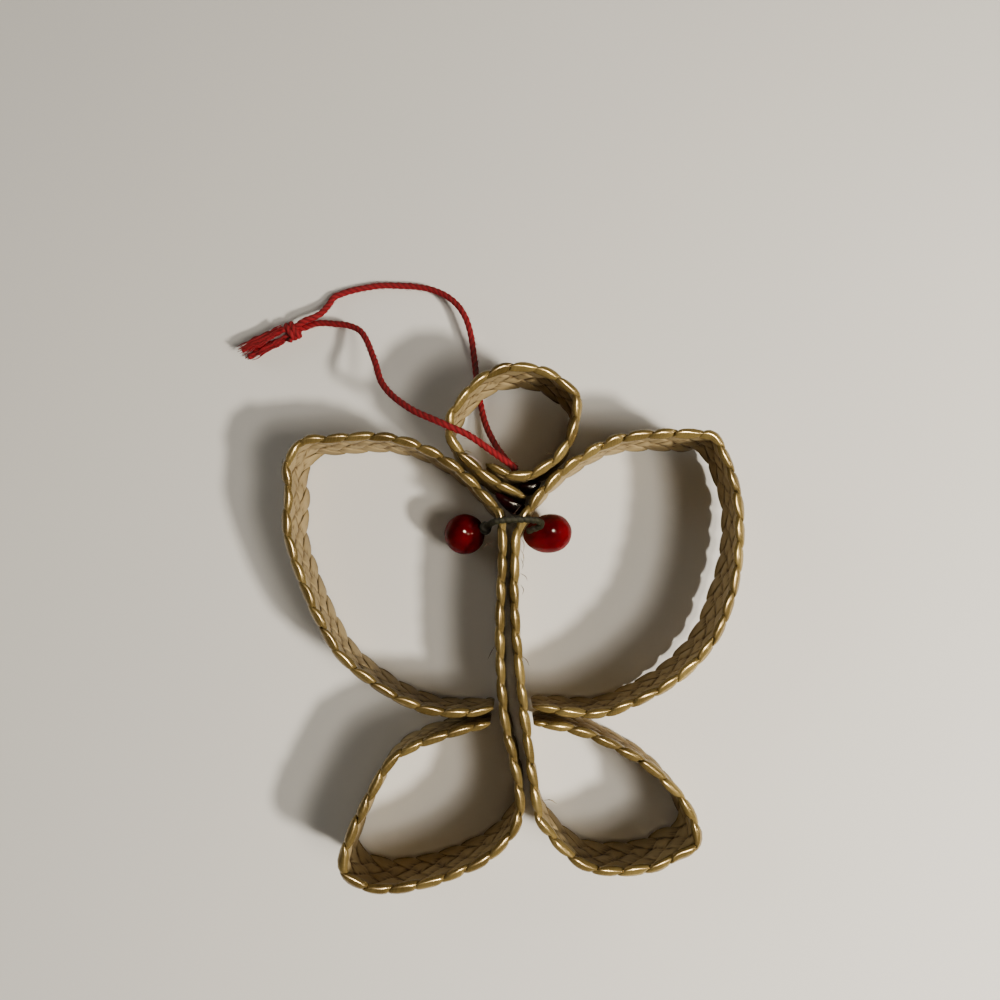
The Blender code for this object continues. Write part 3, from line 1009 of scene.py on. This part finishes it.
def make_knot():
    """The overhand turn that binds both legs of the loop, two wraps of the same cord."""
    looks = bpy.context.scene.straw_cord
    turns = np.linspace(*KNOT_TURNS, KNOT_STEPS) * 2 * math.pi
    place = Matrix.Translation(Vector(KNOT_CENTRE)) @ Matrix.Rotation(KNOT_TURN, 4, "Z")
    centres = []
    for turn in turns:
        forward = KNOT_ADVANCE * (turn / math.pi - 1.2)
        wrap = Vector((forward, KNOT_HALF_WIDTH * math.cos(turn), KNOT_HALF_HEIGHT * math.sin(turn)))
        centres.append(tuple(place @ wrap))
    centres = np.array(centres)
    mesh = twisted_cord(centres, lengths_along(centres), looks.diameter * 0.46, looks.plies, looks.lay, 24)
    return add_piece("knot_wrap", mesh, cotton_material("knot_cotton", looks), "red_cord", "cord_knot")


def make_berry(name, node, centre, half, turn, taper, seed):
    """A dipped berry: a ball stretched along X, narrower towards its stem, with slight runs in the film."""
    looks = bpy.context.scene.straw_berry
    mesh = bmesh.new()
    bmesh.ops.create_uvsphere(
        mesh, u_segments=72, v_segments=48, radius=1.0, matrix=Matrix.Rotation(math.pi / 2, 4, "Y")
    )
    place = Matrix.Translation(Vector(centre)) @ Matrix.Rotation(turn, 4, "Z")
    shift = Vector((seed, 2.0 * seed, 0.0))
    for vert in mesh.verts:
        across = 1.0 + taper * vert.co.x
        lump = 1.0 + 0.018 * noise.noise(vert.co * 1.7 + shift) + 0.008 * noise.noise(vert.co * 5.0 + shift)
        shaped = Vector((vert.co.x * half[0], vert.co.y * half[1] * across, vert.co.z * half[2] * across))
        vert.co = place @ (shaped * lump)
    for face in mesh.faces:
        face.smooth = True
    add_piece(name, mesh, lacquer_material(name + "_lacquer", looks), "berry_lacquer", node)


def make_wire():
    """The wire's tape is wound on a slant, so its laps stand out as a low thread."""
    looks = bpy.context.scene.straw_berry
    centres, along = evenly_spaced(smooth_route(WIRE_ROUTE), 0.12 * MM)
    neck = 1.0 + 1.1 * (1.0 - smoothstep(along / (2.4 * MM)))
    mesh = twisted_cord(centres, along, WIRE_RADIUS, 1, 1.1 * MM, 20, neck)
    material = wrapped_wire_material("paper_wrapped_wire", looks)
    add_piece("wrapped_wire", mesh, material, "green_wrap", "berry_wire")


def make_glue(name, node, outline, material):
    """Hot-melt glue that filled a gap: its outline raised, its top drawn in and domed, then softened."""
    mesh = bmesh.new()
    corners = [mesh.verts.new((x, y, 1.2 * MM)) for x, y in outline]
    floor = mesh.faces.new(corners)
    centre = floor.calc_center_median()
    for height, share in ((6.6 * MM, 1.06), (0.9 * MM, 0.97), (0.5 * MM, 0.7)):
        raised = bmesh.ops.extrude_face_region(mesh, geom=[floor])["geom"]
        floor = [item for item in raised if isinstance(item, bmesh.types.BMFace)][0]
        bmesh.ops.translate(mesh, verts=floor.verts, vec=(0.0, 0.0, height))
        bmesh.ops.scale(mesh, verts=floor.verts, vec=(share, share, 1.0), space=Matrix.Translation(-centre))
    for face in mesh.faces:
        face.smooth = True
    piece = add_piece(name, mesh, material, "glue", node)
    soften = piece.modifiers.new("soften", "SUBSURF")
    soften.levels = 2
    soften.render_levels = 2


def make_strands(name, strands, radius, material, slot, spacing=0.15 * MM, around=8):
    """Thin tapering strands in one piece. Each strand is a short route of points in space."""
    whole = bmesh.new()
    for route in strands:
        centres, along = evenly_spaced(smooth_route(route), spacing)
        ends = np.minimum(along, along[-1] - along) / (0.35 * along[-1])
        taper = 0.25 + 0.75 * np.clip(ends, 0.0, 1.0)
        mesh = twisted_cord(centres, along, radius, 2, 1.2 * MM, around, taper)
        pour_into(whole, mesh)
    return add_piece(name, whole, material, slot)


def add_lamp(name, location, size, watts, colour, glossy=False):
    """A round lamp that faces straight down. Reflections show it only if it is glossy."""
    data = bpy.data.lights.new(name, "AREA")
    data.shape = "DISK"
    data.size = size
    data.energy = watts
    data.color = linear(colour)
    lamp = bpy.data.objects.new(name, data)
    lamp.location = location
    lamp.visible_glossy = glossy
    bpy.context.scene.collection.objects.link(lamp)
    return lamp


class STRAW_OT_stage(bpy.types.Operator):
    """Make the camera, the table and the lamps"""

    bl_idname = "straw.stage"
    bl_label = "Stage"

    def execute(self, context):
        looks = context.scene.straw_stage
        camera_data = bpy.data.cameras.new("camera")
        camera_data.lens = looks.lens
        camera_data.sensor_width = 36.0
        camera_data.clip_start = 0.005
        camera = bpy.data.objects.new("camera", camera_data)
        camera.location = (*CAMERA_PLACE, looks.camera_height)
        camera.rotation_euler = CAMERA_TURN
        context.scene.collection.objects.link(camera)
        context.scene.camera = camera

        mesh = bmesh.new()
        bmesh.ops.create_grid(mesh, x_segments=1, y_segments=1, size=1.2)
        table = add_object("table", mesh, table_material("painted_table", looks))

        add_lamp("key_lamp", KEY_PLACE, 0.10, looks.key_power, LAMP_COLOUR)
        height = looks.lamp_height
        whole = sum(RING_BRIGHTNESS)
        for step, brightness in enumerate(RING_BRIGHTNESS):
            turn = 2 * math.pi * step / len(RING_BRIGHTNESS)
            x = (RING_LAMP_CENTRE[0] + RING_LAMP_RADIUS * math.cos(turn)) * height
            y = (RING_LAMP_CENTRE[1] + RING_LAMP_RADIUS * math.sin(turn)) * height
            watts = looks.lamp_power * brightness / whole
            add_lamp("ring_lamp", (x, y, height), RING_BULB_SIZE * height, watts, LAMP_COLOUR)
        add_lamp("ceiling_spot", SPOT_PLACE, 0.1, 0.35, "#FFF1DC")
        wall = add_lamp("pale_wall", WALL_PLACE, 0.6, looks.wall_power, "#FFFFFF")
        wall.rotation_euler = Vector(WALL_PLACE).to_track_quat("Z", "Y").to_euler()
        for x, y, size, watts in GLINT_BULBS:
            glint = add_lamp("glint_bulb", (x, y, 1.0), size, watts, "#FFEFD2", glossy=True)
            glint.visible_diffuse = False

        world = bpy.data.worlds.new("room")
        world.use_nodes = True
        background = world.node_tree.nodes["Background"]
        background.inputs["Color"].default_value = (*linear("#F4F6FA"), 1.0)
        background.inputs["Strength"].default_value = looks.sky
        context.scene.world = world
        return {"FINISHED"}


class STRAW_OT_cord(bpy.types.Operator):
    """Make the red cord loop, its knot and its cut tails"""

    bl_idname = "straw.cord"
    bl_label = "Cord loop"

    def execute(self, context):
        loose = [make_knot(), *make_fray()]
        route_a = joined_route(LEG_A_ROUTE, TAIL_A_ROUTE)
        route_b = joined_route(LEG_B_ROUTE, TAIL_B_ROUTE)
        make_cord("cord_a", route_a, ("cord_leg_a", "cord_tail_a"))
        make_cord("cord_b", route_b, ("cord_leg_b", "cord_tail_b"))
        return {"FINISHED"}


class STRAW_OT_bands(bpy.types.Operator):
    """Plait the two long bands that form the wings and the body"""

    bl_idname = "straw.bands"
    bl_label = "Wing bands"

    def execute(self, context):
        make_plait("left_plait", "left_band", "straw_left", LEFT_ROUTE, no_lift, UPRIGHT, 11)
        make_plait("right_plait", "right_band", "straw_right", RIGHT_ROUTE, wing_lift, RIGHT_LEAN, 23)
        return {"FINISHED"}


class STRAW_OT_ring(bpy.types.Operator):
    """Plait the head ring"""

    bl_idname = "straw.ring"
    bl_label = "Head ring"

    def execute(self, context):
        make_plait("ring_plait", "head_ring", "straw_ring", RING_ROUTE, ring_lift, UPRIGHT, 37)
        return {"FINISHED"}


class STRAW_OT_berries(bpy.types.Operator):
    """Make the two lacquered berries and the wire that joins them"""

    bl_idname = "straw.berries"
    bl_label = "Berries and wire"

    def execute(self, context):
        make_berry("left_berry", "berry_left", LEFT_BERRY_CENTRE, LEFT_BERRY_HALF, 0.0, 0.0, 3.0)
        turn = math.radians(9)
        make_berry("right_berry", "berry_right", RIGHT_BERRY_CENTRE, RIGHT_BERRY_HALF, turn, 0.12, 7.0)
        make_wire()
        return {"FINISHED"}


class STRAW_OT_glue(bpy.types.Operator):
    """Make the set glue in the gaps under the head ring, and its pulled threads"""

    bl_idname = "straw.glue"
    bl_label = "Glue"

    def execute(self, context):
        looks = context.scene.straw_berry
        # Partly painted shade: the dark glue colour also stands for the shade in the gaps the glue fills.
        dark_shaded_glue = glue_material("dark_shaded_hot_melt", looks.glue, 0.15, 0.0)
        make_glue("glue_v", "glue_pad_v", GLUE_V_OUTLINE, dark_shaded_glue)
        make_glue("glue_ring", "glue_pad_ring", GLUE_RING_OUTLINE, dark_shaded_glue)
        clear = glue_material("clear_hot_melt", linear("#E0C8BC"), 0.2, 0.2)
        make_strands("glue_threads", GLUE_THREADS, 0.07 * MM, clear, "glue")
        return {"FINISHED"}


class STRAW_OT_fibres(bpy.types.Operator):
    """Make the loose straw fibres that stand off the bands"""

    bl_idname = "straw.fibres"
    bl_label = "Loose fibres"

    def execute(self, context):
        fibre = fibre_material("split_straw_fibre")
        make_strands("straw_fibres", LOOSE_FIBRES, 0.075 * MM, fibre, "straw_right")
        return {"FINISHED"}


class STRAW_PT_panel(bpy.types.Panel):
    """Buttons for the ornament's pieces, in the order they are made"""

    bl_label = "Straw Ornament"
    bl_idname = "STRAW_PT_panel"
    bl_space_type = "VIEW_3D"
    bl_region_type = "UI"
    bl_category = "Straw Ornament"

    def draw(self, context):
        for operator in OPERATORS:
            self.layout.operator(operator.bl_idname)
        for group in SETTINGS:
            looks = getattr(context.scene, group)
            box = self.layout.box()
            for name in looks.bl_rna.properties.keys():
                if name not in ("rna_type", "name"):
                    box.prop(looks, name)


OPERATORS = (
    STRAW_OT_stage,
    STRAW_OT_cord,
    STRAW_OT_bands,
    STRAW_OT_ring,
    STRAW_OT_berries,
    STRAW_OT_glue,
    STRAW_OT_fibres,
)
SETTINGS = {
    "straw_plait": PlaitSettings,
    "straw_cord": CordSettings,
    "straw_berry": BerrySettings,
    "straw_stage": StageSettings,
}


def register():
    for group in SETTINGS.values():
        bpy.utils.register_class(group)
    for operator in OPERATORS:
        bpy.utils.register_class(operator)
    bpy.utils.register_class(STRAW_PT_panel)
    for name, group in SETTINGS.items():
        setattr(bpy.types.Scene, name, PointerProperty(type=group))


def unregister():
    for name in SETTINGS:
        delattr(bpy.types.Scene, name)
    bpy.utils.unregister_class(STRAW_PT_panel)
    for operator in reversed(OPERATORS):
        bpy.utils.unregister_class(operator)
    for group in reversed(SETTINGS.values()):
        bpy.utils.unregister_class(group)


def main():
    register()
    bpy.ops.straw.stage()
    bpy.ops.straw.cord()
    bpy.ops.straw.bands()
    bpy.ops.straw.ring()
    bpy.ops.straw.berries()
    bpy.ops.straw.glue()
    bpy.ops.straw.fibres()


if __name__ == "__main__":
    main()
